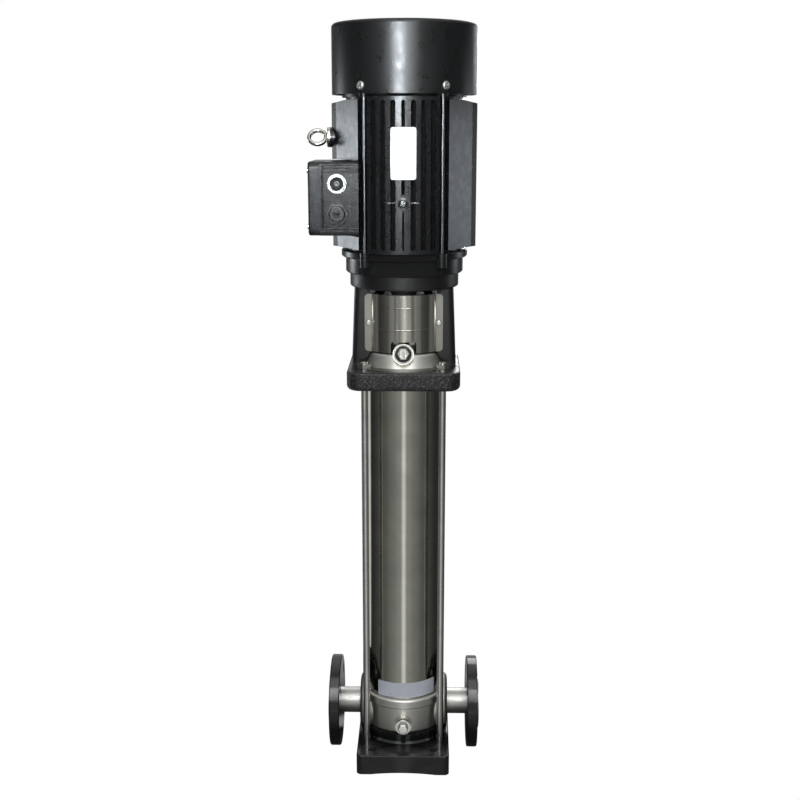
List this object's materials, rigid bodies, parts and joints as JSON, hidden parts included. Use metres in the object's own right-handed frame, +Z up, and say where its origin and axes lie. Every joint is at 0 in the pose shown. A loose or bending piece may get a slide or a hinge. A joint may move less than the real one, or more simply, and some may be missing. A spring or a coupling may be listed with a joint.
{
  "type": "vertical multistage pump",
  "caption": "Vertical in-line multistage centrifugal pump: flanged ports in a cast base, polished sleeve held by tie rods, split coupling behind guards and a finned fan-cooled motor.",
  "frame": {"origin": "centre of the base bolt pattern, on the plane that the base's feet stand on", "axes": "+Z up along the shaft, +X from the inlet port to the outlet port, -Y towards the vent and drain plugs"},
  "size_m": [0.2729, 0.222, 1.171],
  "materials": {
    "base_paint": "semi-gloss black paint on cast iron",
    "stool_paint": "satin black paint on rough cast iron",
    "motor_paint": "gloss black paint on die-cast aluminium",
    "cover_paint": "semi-gloss black paint with a fine orange peel",
    "box_paint": "satin black paint with a fine texture",
    "flange_paint": "semi-gloss black paint",
    "cast_stainless": "satin investment-cast stainless steel",
    "stub_stainless": "satin stainless steel pipe",
    "polished_stainless": "polished stainless steel sheet",
    "guard_stainless": "brushed stainless steel sheet",
    "rod_steel": "bright drawn stainless steel",
    "zinc_steel": "bright zinc-plated steel",
    "black_steel": "oiled black steel",
    "seal_rubber": "black rubber",
    "coupling_iron": "dark sintered iron",
    "shaft_steel": "ground steel",
    "pressed_stainless": "pressed stainless steel sheet",
    "hard_ring": "dark hard metal, lapped",
    "bearing_steel": "polished bearing steel",
    "lamination": "stacked electrical steel sheet",
    "copper": "varnished copper wire",
    "fan_plastic": "moulded black plastic",
    "gland_metal": "plated metal",
    "gland_plastic": "black moulded plastic"
  },
  "bodies": {
    "pump_body": {"base_plate": "base_paint", "motor_stool": "stool_paint", "motor_flange": "motor_paint", "motor_housing": "motor_paint", "end_shield": "motor_paint", "fan_cover": "cover_paint", "terminal_box": "box_paint", "terminal_lid": "box_paint", "base_casing": "cast_stainless", "pump_head": "cast_stainless", "inlet_stub": "stub_stainless", "outlet_stub": "stub_stainless", "outer_sleeve": "polished_stainless", "front_guard": "guard_stainless", "rear_guard": "guard_stainless", "tie_rods": "rod_steel", "tie_rod_washers": "zinc_steel", "tie_rod_nuts": "zinc_steel", "vent_plug": "zinc_steel", "guard_screws": "zinc_steel", "motor_bolts": "black_steel", "through_bolts": "black_steel", "cover_screws": "zinc_steel", "lid_screws": "zinc_steel", "seal_screws": "zinc_steel", "eye_bolt": "zinc_steel", "drain_washer": "seal_rubber", "sleeve_seals": "seal_rubber", "lid_gasket": "seal_rubber", "stage_chambers": "pressed_stainless", "suction_chamber": "pressed_stainless", "top_chamber": "pressed_stainless", "stack_straps": "pressed_stainless", "seal_plate": "pressed_stainless", "shaft_bearing": "hard_ring", "seal_seat": "hard_ring", "bearing_outer_rings": "bearing_steel", "stator_core": "lamination", "stator_windings": "copper", "terminal_block": "fan_plastic", "upper_gland": "gland_metal", "lower_gland": "gland_plastic"},
    "rotor": {"coupling_half_front": "coupling_iron", "coupling_half_rear": "coupling_iron", "coupling_bolts": "black_steel", "shaft_pin": "shaft_steel", "pump_shaft": "shaft_steel", "impellers": "pressed_stainless", "bearing_sleeve": "hard_ring", "shaft_nut": "shaft_steel", "seal_head": "pressed_stainless", "bearing_inner_rings": "bearing_steel", "motor_shaft": "shaft_steel", "rotor_core": "lamination", "cooling_fan": "fan_plastic"},
    "inlet_flange_ring": {"inlet_flange": "flange_paint"},
    "outlet_flange_ring": {"outlet_flange": "flange_paint"},
    "air_vent": {"vent_screw": "zinc_steel"},
    "drain": {"drain_plug": "zinc_steel"}
  },
  "joints": [
    {"name": "rotor_spin", "type": "hinge", "parent": "pump_body", "child": "rotor", "pos_m": [0, 0, 0.745], "axis": [0, 0, 1], "continuous": true},
    {"name": "inlet_flange_turn", "type": "hinge", "parent": "pump_body", "child": "inlet_flange_ring", "pos_m": [-0.1135, 0, 0.075], "axis": [-1, 0, 0], "continuous": true},
    {"name": "outlet_flange_turn", "type": "hinge", "parent": "pump_body", "child": "outlet_flange_ring", "pos_m": [0.1135, 0, 0.075], "axis": [1, 0, 0], "continuous": true},
    {"name": "vent_screw_turn", "type": "hinge", "parent": "pump_body", "child": "air_vent", "pos_m": [0, -0.08, 0.687], "axis": [0, -0.9397, 0.342], "range_deg": [0, 720]},
    {"name": "drain_plug_out", "type": "slide", "parent": "pump_body", "child": "drain", "axis": [0, -1, 0], "range_m": [0, 0.03]}
  ]
}
